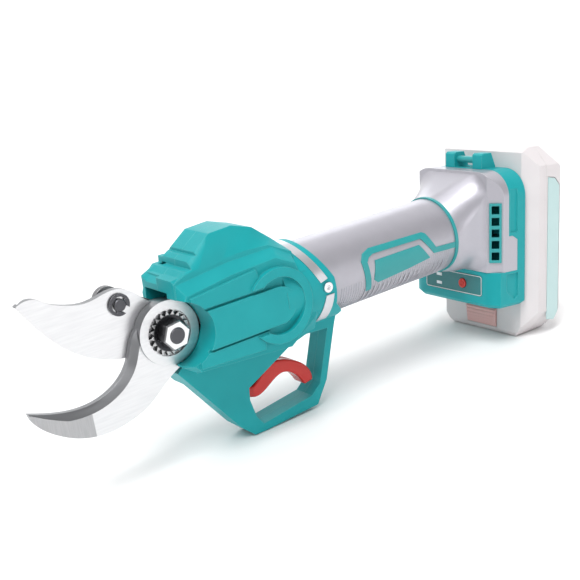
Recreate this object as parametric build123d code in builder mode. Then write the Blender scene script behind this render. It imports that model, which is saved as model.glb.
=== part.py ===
"""Battery pruner: a hand-held orchard tool with a fixed hook, a gear-driven cutting blade and a pack
that slides on.

Units are millimetres. The row frame has +X to the rear along the handle, +Y to the user's right and +Z up.
The tool stands on its guard and its pack. Everything is drawn about the blade pivot, PIVOT, through the
planes below, so that a sketch reads as "so far behind the pivot, so far above it".
"""

import os
from math import cos, pi, radians, sin

from build123d import *

os.makedirs("parts", exist_ok=True)

# ---------------------------------------------------------------- driving dimensions
PIVOT = Vector(-90.13, 0, 69.5)  # the blade pivot in the row frame
GRIP_R = 21.4  # outside of the handle tube
GRIP_WALL = 2.4
FLARE_FROM = 180.6  # where the tube enters the flare
GRIP_END = 186.0
PACK_LEAN = 7.0  # the pack and its foot lean back by this many degrees
FOOT_X = 185.6  # the pack frame's origin, on the handle axis
FOOT_HALF = 34.0  # half the width of the housing and foot
FOOT_BACK = 37.0  # their rear face, where the pack starts
FOOT_SPLIT = -22.4  # the foot's top, along the pack
PACK_HALF = 38.0
PACK_BACK = 65.5

# layers across the head, along Y
HOOK_Y = (-7.8, -2.4)
BLADE_Y = (-2.1, 1.7)
SECTOR_Y = (9.3, 12.5)
HUB_R = 16.0
HUB_FACE = -9.0
BOLT_R = 4.0

# face gear and its pinion
SECTOR_TEETH = 32
PINION_TEETH = 9
SECTOR_PITCH_R = 26.5
SECTOR_MODULE = 2 * SECTOR_PITCH_R / SECTOR_TEETH
PINION_PITCH_R = SECTOR_MODULE * PINION_TEETH / 2

# planetary stage
SUN_TEETH, PLANET_TEETH, RING_TEETH = 12, 18, 48
GEAR_MODULE = 0.62
PLANET_ORBIT = GEAR_MODULE * (SUN_TEETH + PLANET_TEETH) / 2
GEARBOX_X = (62.0, 82.0)
MOTOR_X = (84.0, 128.0)

# trigger
TRIGGER_AT = (33.5, -43.0)

LEAN = radians(PACK_LEAN)
PACK_X = Vector(cos(LEAN), 0, -sin(LEAN))
PACK_Z = Vector(sin(LEAN), 0, cos(LEAN))
PACK_ORIGIN = PIVOT + Vector(FOOT_X, 0, 0)


# ---------------------------------------------------------------- planes
def side(y):
    """A plane facing the user's left at this y: sketch x runs to the rear and sketch y upwards."""
    return Plane(origin=PIVOT + Vector(0, y, 0), x_dir=(1, 0, 0), z_dir=(0, -1, 0))


def across(x):
    """A plane across the handle this far behind the pivot: sketch x is Y and sketch y is upwards."""
    return Plane(origin=PIVOT + Vector(x, 0, 0), x_dir=(0, 1, 0), z_dir=(1, 0, 0))


def level(z):
    """A horizontal plane this far above the pivot."""
    return Plane(origin=PIVOT + Vector(0, 0, z), x_dir=(1, 0, 0), z_dir=(0, 0, 1))


def pack_side(y):
    """As side(), in the pack's own leaning frame."""
    return Plane(origin=PACK_ORIGIN + Vector(0, y, 0), x_dir=PACK_X, z_dir=(0, -1, 0))


def pack_face(u):
    """As across(), this far behind the foot's front face."""
    return Plane(origin=PACK_ORIGIN + PACK_X * u, x_dir=(0, 1, 0), z_dir=PACK_X)


def pack_level(w):
    """A plane square to the pack's long direction, this far above the handle axis."""
    return Plane(origin=PACK_ORIGIN + PACK_Z * w, x_dir=PACK_X, z_dir=PACK_Z)




def tube(x_from, x_to, outer, inner):
    """A round tube on the handle axis."""
    with BuildPart() as made:
        with BuildSketch(across(x_from)):
            Circle(outer)
            if inner:
                Circle(inner, mode=Mode.SUBTRACT)
        extrude(amount=x_to - x_from)
    return made.part


def cross_pin(x, z, y_from, y_to, radius):
    """A round bar along Y at (x, z) from the pivot."""
    with BuildPart() as made:
        with BuildSketch(side(y_to)):
            with Locations((x, z)):
                Circle(radius)
        extrude(amount=y_to - y_from)
    return made.part


def gear_profile(teeth, module, thickness, turned, centre_at=(0.0, 0.0), inner=False):
    """Tooth flanks as a closed outline on the current sketch.

    thickness is the tooth's share of the pitch.
    """
    pitch_r = teeth * module / 2
    tip, root = (-0.85, 1.15) if inner else (0.85, -1.15)
    half = thickness * pi / teeth
    points = []
    for k in range(teeth):
        centre = 2 * pi * k / teeth + radians(turned)
        for share, rise in ((-1.45, root), (-0.55, tip), (0.55, tip), (1.45, root)):
            a = centre + half * share
            r = pitch_r + rise * module
            points.append((centre_at[0] + r * cos(a), centre_at[1] + r * sin(a)))
    return points


# ---------------------------------------------------------------- fixed hook
# Forged hook with a ground inner edge. Its hub takes the pivot bolt and its tail is screwed in the head.
HOOK_BACK = [(-74.0, -15.5), (-72.4, -20.5), (-66.5, -27.0), (-56.5, -33.2), (-44.6, -36.7), (-31.4, -36.2),
             (-16.9, -31.4), (-5.3, -23.2), (4.0, -18.0)]
HOOK_THROAT = [(-74.0, -15.5), (-63.5, -19.2), (-54.1, -21.3), (-44.0, -21.4), (-35.8, -19.3),
               (-27.9, -14.6),
               (-22.8, -8.4), (-19.6, -0.9), (-15.0, 6.0)]
HOOK_SCREWS = [(22.0, -14.5), (33.0, -17.0)]
with BuildPart() as fixed_hook:
    with BuildSketch(side(HOOK_Y[1])):
        with BuildLine():
            back = Spline(*HOOK_BACK)
            throat = Spline(*HOOK_THROAT)
            Line(back @ 1, throat @ 1)
        make_face()
    extrude(amount=HOOK_Y[1] - HOOK_Y[0])
    # the throat's bevel, on the outer face only
    throat_edge = fixed_hook.edges().filter_by_position(Axis.Y, HOOK_Y[0] - 0.1, HOOK_Y[0] + 0.1)
    throat_edge = [e for e in throat_edge if abs(e.length - throat.length) < 0.5]
    chamfer(throat_edge, length=2.4, length2=3.6)
    with BuildSketch(side(HOOK_Y[1])):
        Circle(HUB_R)
        with BuildLine():
            Polyline((0, -HUB_R), (24, -19.5), (38, -21), (38, -13.5), (14, -8), (0, 0), close=True)
        make_face()
    extrude(amount=HOOK_Y[1] - HOOK_Y[0])
    with BuildSketch(side(HOOK_Y[0])):
        Circle(HUB_R)
    extrude(amount=HOOK_Y[0] - HUB_FACE)
    # seat for the toothed lock ring
    with BuildSketch(side(HUB_FACE)):
        Circle(11.4)
    extrude(amount=-1.6, mode=Mode.SUBTRACT)
    # the tip is ground thinner
    with BuildSketch(level(-60)):
        with BuildLine():
            Polyline((-57.0, HOOK_Y[0]), (-78.0, HOOK_Y[0] + 2.6), (-78.0, HOOK_Y[0] - 1),
                     (-57.0, HOOK_Y[0] - 1),
                     close=True)
        make_face()
    extrude(amount=60, mode=Mode.SUBTRACT)
    with BuildSketch(side(HOOK_Y[1])):
        Circle(BOLT_R + 0.05)
        with Locations(*HOOK_SCREWS):
            Circle(2.05)
    extrude(amount=20, mode=Mode.SUBTRACT)
fixed_hook.part.label = "fixed_hook"
export_step(fixed_hook.part, "parts/fixed_hook.step")

# ---------------------------------------------------------------- cutting blade
# Forged blade, flat on the hook's side and ground to an edge on the other.
BLADE_PIN = (-19.9, 19.1)
BLADE_SPINE = [(-67.7, 32.0), (-63.5, 33.7), (-59.0, 33.4), (-52.5, 29.4), (-45.5, 26.4), (-36.0, 24.6),
               (-28.5, 25.6), (-20.0, 26.6), (-13.0, 23.8), (-6.0, 17.5), (2.0, 13.5)]
BLADE_EDGE = [(-67.7, 32.0), (-59.2, 18.4), (-51.7, 9.1), (-43.4, 1.9), (-34.2, -3.2), (-22.1, -6.9)]
with BuildPart() as cutting_blade:
    with BuildSketch(side(BLADE_Y[1])):
        with BuildLine():
            spine = Spline(*BLADE_SPINE)
            edge = Spline(*BLADE_EDGE)
            Polyline(spine @ 1, (2.0, -6.0), (-12.0, -7.5), edge @ 1)
        make_face()
        Circle(HUB_R - 0.6)
    extrude(amount=BLADE_Y[1] - BLADE_Y[0])
    # the ground bevel, cut by a triangle that runs along the edge
    with BuildLine(side(BLADE_Y[1])) as ground_path:
        Spline(*BLADE_EDGE)
    start = ground_path.line @ 0
    with BuildSketch(Plane(origin=start, x_dir=(0, 1, 0), z_dir=ground_path.line % 0)):
        with BuildLine():
            Polyline((0.6, -7.0), (0.6, 7.0), (-3.4, 0.0), close=True)
        make_face()
    sweep(path=ground_path.line, mode=Mode.SUBTRACT)
    with BuildSketch(side(BLADE_Y[1])):
        Circle(BOLT_R + 1.55)
        with Locations(BLADE_PIN):
            Circle(3.0)
    extrude(amount=10, mode=Mode.SUBTRACT)
cutting_blade.part.label = "cutting_blade"
export_step(cutting_blade.part, "parts/cutting_blade.step")

# ---------------------------------------------------------------- sector gear
# Carries the blade: one bore on the pivot, one on the blade pin, and face teeth at the back.
SECTOR_FROM, SECTOR_TO = -56.0, 22.5
with BuildPart() as sector_gear:
    with BuildSketch(side(SECTOR_Y[1])) as plate:
        Circle(12.0)
        with Locations(BLADE_PIN):
            Circle(6.9)
        with BuildLine():
            Polyline((-2.0, -12.0), (-24.5, 14.0), (-15.5, 24.0), (6.0, 10.5), close=True)
        make_face()
        with BuildLine():
            rim = CenterArc((0, 0), 31.0, SECTOR_FROM, SECTOR_TO - SECTOR_FROM)
            Polyline(rim @ 1, (6.0, 10.5), (-2.0, -12.0), rim @ 0)
        make_face()
    extrude(amount=SECTOR_Y[1] - SECTOR_Y[0])
    # sleeve that reaches the blade
    with BuildSketch(side(SECTOR_Y[0])):
        Circle(9.0)
    extrude(amount=SECTOR_Y[0] - BLADE_Y[1])
    # face teeth, each a tapered ridge that points at the pivot
    pitch = 360 / SECTOR_TEETH
    for k in range(-5, 2):
        turn = radians((k + 0.5) * pitch)
        way = Vector(cos(turn), 0, sin(turn))
        with BuildSketch(Plane(origin=PIVOT + way * 23.2 + Vector(0, SECTOR_Y[0], 0),
                               x_dir=Vector(-sin(turn), 0, cos(turn)),
                               z_dir=way)):
            with BuildLine():
                Polyline((-1.35, -0.1), (1.35, -0.1), (0.62, 2.9), (-0.62, 2.9), close=True)
            make_face()
        extrude(amount=6.8)
    with BuildSketch(side(SECTOR_Y[1])):
        Circle(BOLT_R + 1.55)
        with Locations(BLADE_PIN):
            Circle(3.0)
    extrude(amount=20, mode=Mode.SUBTRACT)
sector_gear.part.label = "sector_gear"
export_step(sector_gear.part, "parts/sector_gear.step")

# ---------------------------------------------------------------- pivot hardware
with BuildPart() as blade_pin:
    with BuildSketch(side(SECTOR_Y[1] + 0.6)):
        with Locations(BLADE_PIN):
            Circle(3.0)
    extrude(amount=SECTOR_Y[1] + 0.6 + 4.4)
    # head on the far side, groove for the clip on the near side
    with BuildSketch(side(SECTOR_Y[1] + 1.0)):
        with Locations(BLADE_PIN):
            Circle(4.2)
    extrude(amount=1.0)
    with BuildSketch(side(-2.4)):
        with Locations(BLADE_PIN):
            Circle(3.2)
            Circle(2.45, mode=Mode.SUBTRACT)
    extrude(amount=0.9, mode=Mode.SUBTRACT)
    chamfer(blade_pin.edges().group_by(Axis.Y)[0], length=0.4)
blade_pin.part.label = "blade_pin"
export_step(blade_pin.part, "parts/blade_pin.step")

# open ring pushed in the pin's groove, its mouth towards the pivot
with BuildPart() as blade_pin_clip:
    with BuildSketch(side(-2.45)):
        with Locations(BLADE_PIN):
            Circle(5.4)
            Circle(3.9, mode=Mode.SUBTRACT)
            with PolarLocations(3.35, 3, start_angle=15):
                Rectangle(1.8, 2.2)
            with Locations(Pos(3.6, -3.6)):
                Rectangle(5.4, 3.4, rotation=-45, mode=Mode.SUBTRACT)
            Circle(2.45, mode=Mode.SUBTRACT)
    extrude(amount=0.8)
blade_pin_clip.part.label = "blade_pin_clip"
export_step(blade_pin_clip.part, "parts/blade_pin_clip.step")

BOLT_HEAD_Y = 18.4
with BuildPart() as pivot_bolt:
    with BuildSketch(side(BOLT_HEAD_Y)):
        RegularPolygon(7.2, 6)
    extrude(amount=4.4)
    chamfer(pivot_bolt.edges().group_by(Axis.Y)[-1], length=0.5)
    with BuildSketch(side(BOLT_HEAD_Y - 4.4)):
        Circle(BOLT_R)
    extrude(amount=BOLT_HEAD_Y - 4.4 + 16.7)
    chamfer(pivot_bolt.edges().group_by(Axis.Y)[0], length=0.5)
pivot_bolt.part.label = "pivot_bolt"
export_step(pivot_bolt.part, "parts/pivot_bolt.step")

# flanged bronze sleeve that the sector gear turns on
with BuildPart() as pivot_bushing:
    with BuildSketch(side(BOLT_HEAD_Y - 4.4)):
        Circle(9.5)
    extrude(amount=BOLT_HEAD_Y - 4.4 - SECTOR_Y[1] - 0.3)
    with BuildSketch(side(SECTOR_Y[1] + 0.3)):
        Circle(BOLT_R + 1.5)
    extrude(amount=SECTOR_Y[1] + 0.3 - HOOK_Y[1])
    with BuildSketch(side(BOLT_HEAD_Y)):
        Circle(BOLT_R)
    extrude(amount=30, mode=Mode.SUBTRACT)
pivot_bushing.part.label = "pivot_bushing"
export_step(pivot_bushing.part, "parts/pivot_bushing.step")

LOCK_TEETH = 20
with BuildPart() as lock_ring:
    with BuildSketch(side(HUB_FACE + 1.6)):
        Circle(8.9)
        with PolarLocations(9.6, LOCK_TEETH):
            Triangle(a=2.2, b=2.4, c=2.4, rotation=-90)
        Circle(BOLT_R + 0.1, mode=Mode.SUBTRACT)
    extrude(amount=2.2)
lock_ring.part.label = "lock_ring"
export_step(lock_ring.part, "parts/lock_ring.step")

with BuildPart() as clamp_nut:
    with BuildSketch(side(HUB_FACE - 0.6)):
        RegularPolygon(7.5, 6, rotation=8)
        Circle(BOLT_R, mode=Mode.SUBTRACT)
    extrude(amount=6.7)
    chamfer(clamp_nut.edges().group_by(Axis.Y)[0].filter_by(GeomType.LINE), length=0.6)
clamp_nut.part.label = "clamp_nut"
export_step(clamp_nut.part, "parts/clamp_nut.step")

# ---------------------------------------------------------------- drive
# Bevel pinion on the handle axis. Its teeth meet the sector's face teeth.
PINION_X = (23.0, 30.2)
with BuildPart() as bevel_pinion:
    with BuildSketch(across(PINION_X[0])):
        with BuildLine():
            Polyline(*gear_profile(PINION_TEETH, SECTOR_MODULE, 0.30, 0.0), close=True)
        make_face()
    extrude(amount=PINION_X[1] - PINION_X[0])
    with BuildSketch(across(PINION_X[1])):
        Circle(6.0)
    extrude(amount=2.6)
    with BuildSketch(across(PINION_X[1] + 2.6)):
        Circle(4.0)
    extrude(amount=31.2)
bevel_pinion.part.label = "bevel_pinion"
export_step(bevel_pinion.part, "parts/bevel_pinion.step")

# two deep-groove bearings, one behind the pinion and one in front of the gearbox
PINION_BEARINGS = (33.0, 50.0)
BEARING_LONG = 7.0


def bearing(x_from, long, bore_r, outer_r, balls):
    """Outer race, inner race and a ring of balls held in a cage, as one closed unit.

    The running fit is 0.05.
    """
    wall = (outer_r - bore_r) / 3
    mid_r = (outer_r + bore_r) / 2
    with BuildPart() as made:
        with BuildSketch(across(x_from)):
            Circle(outer_r)
            Circle(outer_r - wall, mode=Mode.SUBTRACT)
            Circle(bore_r + wall)
            Circle(bore_r, mode=Mode.SUBTRACT)
        extrude(amount=long)
        with BuildSketch(across(x_from + long * 0.3)):
            Circle(outer_r - wall)
            Circle(bore_r + wall, mode=Mode.SUBTRACT)
        extrude(amount=long * 0.4)
        with Locations(PIVOT + Vector(x_from + long / 2, 0, 0)):
            with Locations(Rot(0, 90, 0)):
                with PolarLocations(mid_r, balls):
                    Sphere(wall * 0.62)
    return made.part


with BuildPart() as pinion_bearings:
    for x in PINION_BEARINGS:
        add(bearing(x, BEARING_LONG, 4.05, 10.0, 8))
pinion_bearings.part.label = "pinion_bearings"
export_step(pinion_bearings.part, "parts/pinion_bearings.step")

# planetary stage: case with the ring gear in it, carrier, three planets; the sun is on the rotor
GEAR_X = (68.0, 76.0)
with BuildPart() as gearbox_case:
    with BuildSketch(across(GEARBOX_X[0])):
        Circle(18.85)
    extrude(amount=GEARBOX_X[1] - GEARBOX_X[0])
    with BuildSketch(across(GEARBOX_X[0] + 2.0)):
        Circle(16.2)
    extrude(amount=16.0, mode=Mode.SUBTRACT)
    with BuildSketch(across(GEAR_X[0])):
        Circle(16.6)
        with BuildLine():
            Polyline(*gear_profile(RING_TEETH, GEAR_MODULE, 0.36, 0.0, inner=True), close=True)
        make_face(mode=Mode.SUBTRACT)
    extrude(amount=GEAR_X[1] - GEAR_X[0])
    with BuildSketch(across(GEARBOX_X[0])):
        Circle(4.6)
    extrude(amount=GEARBOX_X[1] - GEARBOX_X[0], mode=Mode.SUBTRACT)
gearbox_case.part.label = "gearbox_case"
export_step(gearbox_case.part, "parts/gearbox_case.step")

with BuildPart() as planet_carrier:
    with BuildSketch(across(GEARBOX_X[0] + 2.6)):
        Circle(14.0)
        Circle(4.0, mode=Mode.SUBTRACT)
    extrude(amount=2.8)
    with BuildSketch(across(GEAR_X[0] - 0.6)):
        with PolarLocations(PLANET_ORBIT, 3):
            Circle(2.0)
    extrude(amount=GEAR_X[1] - GEAR_X[0] + 1.4)
planet_carrier.part.label = "planet_carrier"
export_step(planet_carrier.part, "parts/planet_carrier.step")

for k in range(3):
    orbit = 120.0 * k
    hub = (PLANET_ORBIT * cos(radians(orbit)), PLANET_ORBIT * sin(radians(orbit)))
    with BuildPart() as planet_gear:
        with BuildSketch(across(GEAR_X[0])):
            with BuildLine():
                Polyline(*gear_profile(PLANET_TEETH, GEAR_MODULE, 0.36, orbit + 190.0, hub), close=True)
            make_face()
            with Locations(hub):
                Circle(2.05, mode=Mode.SUBTRACT)
        extrude(amount=GEAR_X[1] - GEAR_X[0])
    planet_gear.part.label = f"planet_gear_{k + 1}"
    export_step(planet_gear.part, f"parts/planet_gear_{k + 1}.step")

# brushless motor: a fixed stator in its can, and a rotor whose shaft carries the sun and the fan
with BuildPart() as motor_can:
    with BuildSketch(across(MOTOR_X[0])):
        Circle(18.2)
    extrude(amount=MOTOR_X[1] - MOTOR_X[0])
    with BuildSketch(across(MOTOR_X[0] + 2.0)):
        Circle(16.6)
    extrude(amount=MOTOR_X[1] - MOTOR_X[0] - 4.0, mode=Mode.SUBTRACT)
    with BuildSketch(across(MOTOR_X[0])):
        Circle(3.3)
        with PolarLocations(11.5, 6):
            SlotArc(CenterArc((0, 0), 11.5, -13, 26), 4.0)
    extrude(amount=MOTOR_X[1] - MOTOR_X[0], mode=Mode.SUBTRACT)
motor_can.part.label = "motor_can"
export_step(motor_can.part, "parts/motor_can.step")

STATOR_SLOTS = 9
with BuildPart() as motor_stator:
    with BuildSketch(across(MOTOR_X[0] + 8.0)):
        Circle(16.55)
        Circle(14.2, mode=Mode.SUBTRACT)
        with PolarLocations(11.6, STATOR_SLOTS):
            Rectangle(5.6, 2.6)
        with PolarLocations(9.3, STATOR_SLOTS):
            Rectangle(1.2, 5.0)
    extrude(amount=26.0)
motor_stator.part.label = "motor_stator"
export_step(motor_stator.part, "parts/motor_stator.step")

# copper coils, one round each stator tooth
with BuildPart() as motor_windings:
    for k in range(STATOR_SLOTS):
        turn = radians(360 / STATOR_SLOTS * k)
        way = Vector(0, cos(turn), sin(turn))
        with BuildSketch(Plane(origin=PIVOT + Vector(MOTOR_X[0] + 21.0, 0, 0) + way * 10.1, x_dir=(1, 0, 0),
                               z_dir=way)):
            RectangleRounded(30.4, 5.4, 1.6)
            Rectangle(26.05, 2.65, mode=Mode.SUBTRACT)
        extrude(amount=3.6)
motor_windings.part.label = "motor_windings"
export_step(motor_windings.part, "parts/motor_windings.step")

FAN_X = (MOTOR_X[1] + 2.0, MOTOR_X[1] + 8.0)
with BuildPart() as rotor_shaft:
    with BuildSketch(across(GEAR_X[0])):
        with BuildLine():
            Polyline(*gear_profile(SUN_TEETH, GEAR_MODULE, 0.36, 0.0), close=True)
        make_face()
    extrude(amount=GEAR_X[1] - GEAR_X[0] + 2.0)
    with BuildSketch(across(GEAR_X[1] + 2.0)):
        Circle(2.5)
    extrude(amount=FAN_X[1] - GEAR_X[1] - 1.0)
rotor_shaft.part.label = "rotor_shaft"
export_step(rotor_shaft.part, "parts/rotor_shaft.step")

rotor_core = tube(MOTOR_X[0] + 8.0, MOTOR_X[0] + 34.0, 8.2, 2.5)
rotor_core.label = "rotor_core"
export_step(rotor_core, "parts/rotor_core.step")

with BuildPart() as motor_bearings:
    for x in (MOTOR_X[0] + 2.1, MOTOR_X[1] - 7.1):
        add(bearing(x, 5.0, 2.55, 7.0, 7))
        with BuildSketch(across(x)):
            Circle(16.5)
            Circle(7.0, mode=Mode.SUBTRACT)
            with PolarLocations(11.8, 3):
                Circle(3.4, mode=Mode.SUBTRACT)
        extrude(amount=2.0)
motor_bearings.part.label = "motor_bearings"
export_step(motor_bearings.part, "parts/motor_bearings.step")

with BuildPart() as cooling_fan:
    with BuildSketch(across(FAN_X[0])):
        Circle(17.2)
        Circle(2.5, mode=Mode.SUBTRACT)
    extrude(amount=1.2)
    with BuildSketch(across(FAN_X[0])):
        Circle(5.0)
        Circle(2.5, mode=Mode.SUBTRACT)
    extrude(amount=FAN_X[1] - FAN_X[0])
    with BuildSketch(across(FAN_X[0] + 1.2)):
        with PolarLocations(11.0, 11):
            Rectangle(11.6, 1.0, rotation=22)
    extrude(amount=FAN_X[1] - FAN_X[0] - 1.2)
cooling_fan.part.label = "cooling_fan"
export_step(cooling_fan.part, "parts/cooling_fan.step")

# ---------------------------------------------------------------- handle
# Thin-walled aluminium tube. Its lower half is cut with fine grip ribs.
TUBE_FROM = 66.0
COLLAR_SCREW = (84.4, 0.2)
with BuildPart() as handle_tube:
    with BuildSketch(across(TUBE_FROM)):
        Circle(GRIP_R)
        Circle(GRIP_R - GRIP_WALL, mode=Mode.SUBTRACT)
    extrude(amount=GRIP_END - TUBE_FROM)
    # shallow grooves round the underside
    for k in range(19):
        with BuildSketch(across(112.0 + 3.2 * k)) as groove:
            Circle(GRIP_R + 1)
            Circle(GRIP_R - 0.35, mode=Mode.SUBTRACT)
            with Locations((0, 14.0)):
                Rectangle(60, 48, mode=Mode.SUBTRACT)
        extrude(amount=1.1, mode=Mode.SUBTRACT)
    with BuildSketch(side(0)):
        with Locations(COLLAR_SCREW):
            Circle(1.5)
    extrude(amount=40, both=True, mode=Mode.SUBTRACT)
handle_tube.part.label = "handle_tube"
export_step(handle_tube.part, "parts/handle_tube.step")


def wrapped(outline, inner, outer, both_sides=True):
    """A skin on the handle tube between two radii, with this outline as seen from the side."""
    with BuildPart() as made:
        with BuildSketch(side(0)):
            with BuildLine():
                Polyline(*outline, close=True)
            make_face()
        extrude(amount=40, both=both_sides)
        with BuildSketch(across(40)):
            Circle(outer)
            Circle(inner, mode=Mode.SUBTRACT)
        extrude(amount=160, mode=Mode.INTERSECT)
    return made.part


# collar: bright inlays round the head's neck, pointing to the rear at each side
NECK_R = 23.9
COLLAR_SEAT_R = 23.0
COLLAR_UP = [(68.5, 30.0), (73.5, 30.0), (85.4, 4.6), (80.8, 3.4)]
COLLAR_LOW = [(83.4, -4.2), (88.4, -4.2), (87.0, -19.0), (80.0, -19.0)]
NECK_OUT = [(60.0, 30.0), (77.0, 30.0), (90.0, 4.0), (91.0, -11.0), (97.5, -18.0), (97.5, -30.0),
            (60.0, -30.0)]
with BuildPart() as collar_band:
    add(wrapped(COLLAR_UP, COLLAR_SEAT_R, 24.4))
    add(wrapped(COLLAR_LOW, COLLAR_SEAT_R, 24.4))
collar_band.part.label = "collar_band"
export_step(collar_band.part, "parts/collar_band.step")

with BuildPart() as collar_screws:
    for way in (-1, 1):
        with BuildSketch(side(25.2 * way)):
            with Locations(COLLAR_SCREW):
                Circle(2.7)
        extrude(amount=1.7 * way)
        with BuildSketch(side(23.5 * way)):
            with Locations(COLLAR_SCREW):
                Circle(1.5)
        extrude(amount=4.3 * way)
        with BuildSketch(side(25.2 * way)):
            with Locations(COLLAR_SCREW):
                RegularPolygon(1.3, 6)
        extrude(amount=1.0 * way, mode=Mode.SUBTRACT)
collar_screws.part.label = "collar_screws"
export_step(collar_screws.part, "parts/collar_screws.step")

# ---------------------------------------------------------------- head shells
# Glass-filled nylon mouldings that meet on the middle plane and carry the trigger guard.
HEAD_TOP_Y = 11.0
HEAD_TOP = [(2.0, 15.5), (2.4, 22.0), (14.0, 31.5), (28.5, 41.6), (41.4, 42.3), (53.0, 38.6), (63.0, 30.5),
            (71.0, 23.5), (78.0, 0.0), (2.0, 0.0)]
HEAD_TOP_FOOT = [(2.6, 15.5), (2.8, 24.0), (8.5, 26.6), (18.0, 28.0), (30.0, 28.6), (45.0, 29.4),
                 (58.0, 28.6),
                 (71.0, 22.0), (78.0, 0.0), (2.6, 0.0)]
HEAD_MID_Y = 14.0
HEAD_MID = [(2.4, 16.0), (2.4, 25.5), (34.0, 28.8), (60.0, 29.0), (71.0, 22.0), (80.0, -22.5), (60.0, -27.0),
            (8.0, -22.5), (1.0, -17.5)]
HEAD_SIDE = [(4.5, 16.5), (6.0, 18.0), (31.0, 21.4), (58.0, 22.6), (69.0, 17.0), (78.0, -13.0),
             (60.0, -24.6),
             (7.0, -20.0), (4.0, -16.5)]
NOSE_STEP = [(8.8, 28.0), (13.8, 28.2), (14.2, 33.2), (19.0, 33.4), (19.0, 45.0), (0.0, 45.0), (0.0, 28.0)]
WEB = [(0.0, -14.5), (0.0, -20.8), (31.0, -62.5), (38.5, -69.5), (46.0, -69.5), (80.0, -67.8), (88.0, -56.0),
       (98.0, -27.0), (101.0, -20.0), (94.0, -15.0), (20.0, -8.0), (2.0, -8.0)]
WEB_Y = 7.0
GUARD_HOLE = [(39.2, -43.5), (68.0, -29.8), (79.0, -27.0), (93.0, -28.0), (83.4, -56.5), (77.0, -61.5),
              (44.8, -65.4), (41.0, -60.0), (38.6, -50.0)]
HEAD_SIDE_Y = {-1: 21.0, 1: 16.5}
BOSS_AT = (55.2, -0.9)
BOSS_R = 19.3
CHAMBER_R = 33.0
CHAMBER_Y = (-8.6, 13.2)
TRIGGER_ROOM = [(21.0, -36.0), (36.5, -32.0), (41.0, -38.0), (41.0, -51.5), (36.0, -52.0),
                (31.0, -45.0), (21.0, -44.0)]
SCREWS_AT = [(23.5, 32.5), (55.0, 33.0), (60.0, -23.4), (60.0, 23.4)]
TRIGGER_SLOT = [(40.0, -45.0), (40.6, -38.0), (44.0, -36.0), (56.0, -31.0), (68.0, -26.0), (72.0, -27.5),
                (68.0, -33.0)]


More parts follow.
